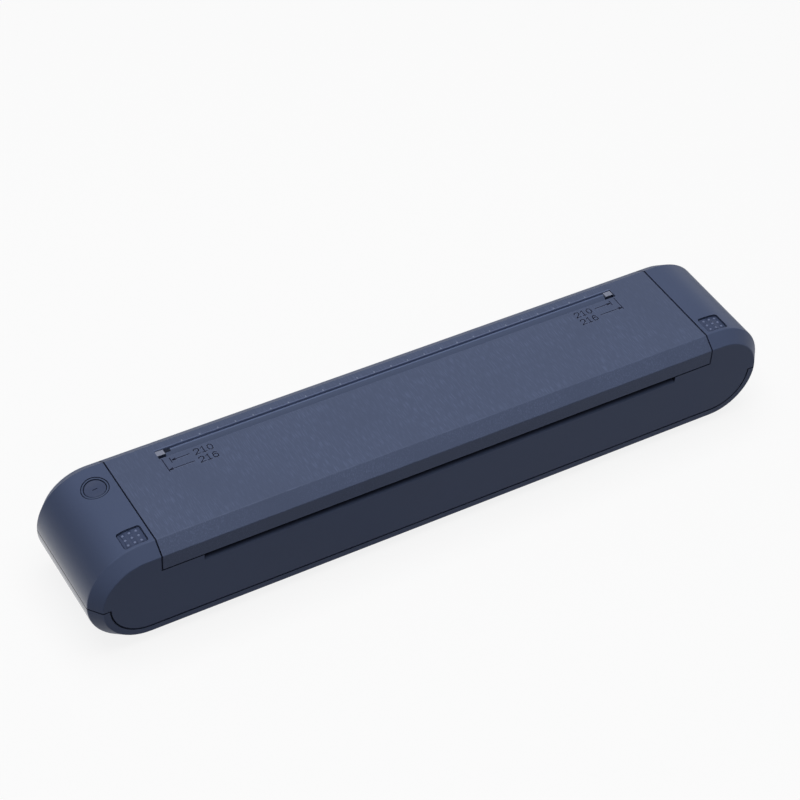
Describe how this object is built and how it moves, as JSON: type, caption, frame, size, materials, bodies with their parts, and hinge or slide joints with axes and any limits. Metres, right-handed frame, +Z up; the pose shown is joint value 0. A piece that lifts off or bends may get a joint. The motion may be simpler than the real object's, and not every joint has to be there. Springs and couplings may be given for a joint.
{
  "type": "a4 portable thermal printer",
  "caption": "Slim pill-shaped portable A4 thermal printer: hinged top cover with sprung print head, geared platen, dust flap over the inlet, release buttons and power button.",
  "frame": {"origin": "centre of the footprint on the surface the feet stand on", "axes": "+X along the case to the right-hand end seen from the front, -Y the front with the paper exit, +Z up"},
  "size_m": [0.317, 0.058, 0.0492],
  "materials": {
    "case": "fine satin moulding in navy",
    "cover": "satin navy, faint brushed texture",
    "dark_plastic": "dark navy moulding",
    "black_plastic": "black moulding",
    "natural_plastic": "natural acetal",
    "switch_red": "red plunger",
    "ring_light": "translucent light guide",
    "feet_rubber": "soft black rubber",
    "roller_rubber": "ground silicone rubber",
    "machined_steel": "turned steel",
    "sheet_steel": "zinc-plated sheet",
    "screw_steel": "blackened steel",
    "spring_steel": "drawn spring wire",
    "motor_steel": "plated motor can",
    "brass": "cut brass",
    "aluminium": "extruded aluminium",
    "ceramic": "fired ceramic with glaze",
    "cell_wrap": "shrink-wrapped cell",
    "board_green": "solder mask"
  },
  "bodies": {
    "base": {"lower_case": "case", "upper_case": "case", "rubber_feet": "feet_rubber", "case_screws": "screw_steel", "hinge_pins": "machined_steel", "paper_deck": "dark_plastic", "deck_screws": "screw_steel", "paper_sensor": "black_plastic", "chassis": "sheet_steel", "chassis_screws": "screw_steel", "platen_bushes": "natural_plastic", "gear_axle": "machined_steel", "motor_can": "motor_steel", "battery_tray": "black_plastic", "battery_cells": "cell_wrap", "main_board": "board_green", "main_chip": "black_plastic", "board_capacitors": "aluminium", "board_connectors": "natural_plastic", "board_screws": "screw_steel", "usb_socket": "sheet_steel", "button_board": "board_green", "tact_switch": "black_plastic", "light_ring": "ring_light", "release_spring_left": "spring_steel", "release_spring_right": "spring_steel", "latch_pins": "machined_steel"},
    "cover": {"top_cover": "cover", "cover_frame": "dark_plastic", "cover_screws": "screw_steel", "tear_bar": "sheet_steel", "flap_rod": "machined_steel", "flap_spring": "spring_steel", "head_springs": "spring_steel"},
    "print_head": {"heat_sink": "aluminium", "head_board": "ceramic", "head_connector": "natural_plastic", "head_pivot_pins": "machined_steel"},
    "flap": {"inlet_flap": "dark_plastic"},
    "platen": {"platen_shaft": "machined_steel", "platen_rubber": "roller_rubber", "platen_gear": "natural_plastic"},
    "reduction": {"reduction_gear": "natural_plastic"},
    "rotor": {"motor_shaft": "machined_steel", "motor_pinion": "brass"},
    "power_button": {"power_button": "dark_plastic", "switch_plunger": "switch_red"},
    "release_left": {"release_button_left": "dark_plastic"},
    "release_right": {"release_button_right": "dark_plastic"},
    "latch_left": {"latch_lever_left": "natural_plastic"},
    "latch_right": {"latch_lever_right": "natural_plastic"}
  },
  "joints": [
    {"name": "cover_hinge", "type": "hinge", "parent": "base", "child": "cover", "pos_m": [0, 0.0246, 0.04417], "axis": [-1, 0, 0], "range_deg": [0, 85]},
    {"name": "head_pivot", "type": "hinge", "parent": "cover", "child": "print_head", "pos_m": [0, 0.0056, 0.0393], "axis": [-1, 0, 0], "range_deg": [0, 3], "stiffness_Nm_per_rad": 1.2, "springref_deg": -1.72, "deforming": ["head_springs"]},
    {"name": "flap_hinge", "type": "hinge", "parent": "cover", "child": "flap", "pos_m": [0, 0.019, 0.04757], "axis": [1, 0, 0], "range_deg": [0, 45], "stiffness_Nm_per_rad": 0.002, "springref_deg": -5.73},
    {"name": "platen_spin", "type": "hinge", "parent": "base", "child": "platen", "pos_m": [0, -0.008, 0.0301], "axis": [1, 0, 0], "continuous": true},
    {"name": "reduction_spin", "type": "hinge", "parent": "base", "child": "reduction", "pos_m": [0.115, 0.00051, 0.02244], "axis": [1, 0, 0], "continuous": true},
    {"name": "motor_spin", "type": "hinge", "parent": "base", "child": "rotor", "pos_m": [0.1, 0.01277, 0.01478], "axis": [1, 0, 0], "continuous": true},
    {"name": "power_press", "type": "slide", "parent": "base", "child": "power_button", "axis": [0, 0, -1], "range_m": [0, 0.0005], "stiffness_N_per_m": 300, "springref_m": -0.0005},
    {"name": "release_press_left", "type": "slide", "parent": "base", "child": "release_left", "axis": [0, 0, -1], "range_m": [0, 0.0012], "stiffness_N_per_m": 250, "springref_m": -0.0005, "deforming": ["release_spring_left"]},
    {"name": "release_press_right", "type": "slide", "parent": "base", "child": "release_right", "axis": [0, 0, -1], "range_m": [0, 0.0012], "stiffness_N_per_m": 250, "springref_m": -0.0005, "deforming": ["release_spring_right"]},
    {"name": "latch_swing_left", "type": "hinge", "parent": "base", "child": "latch_left", "pos_m": [-0.1334, -0.015, 0.03818], "axis": [0, -1, 0], "range_deg": [0, 16]},
    {"name": "latch_swing_right", "type": "hinge", "parent": "base", "child": "latch_right", "pos_m": [0.1334, -0.015, 0.03818], "axis": [0, 1, 0], "range_deg": [0, 16]}
  ],
  "couplings": [
    {"joint": "reduction_spin", "follows": "platen_spin", "ratio": -2.1667},
    {"joint": "motor_spin", "follows": "platen_spin", "ratio": 6.5},
    {"joint": "latch_swing_left", "follows": "release_press_left", "rad_per_m": 222},
    {"joint": "latch_swing_right", "follows": "release_press_right", "rad_per_m": 222}
  ]
}
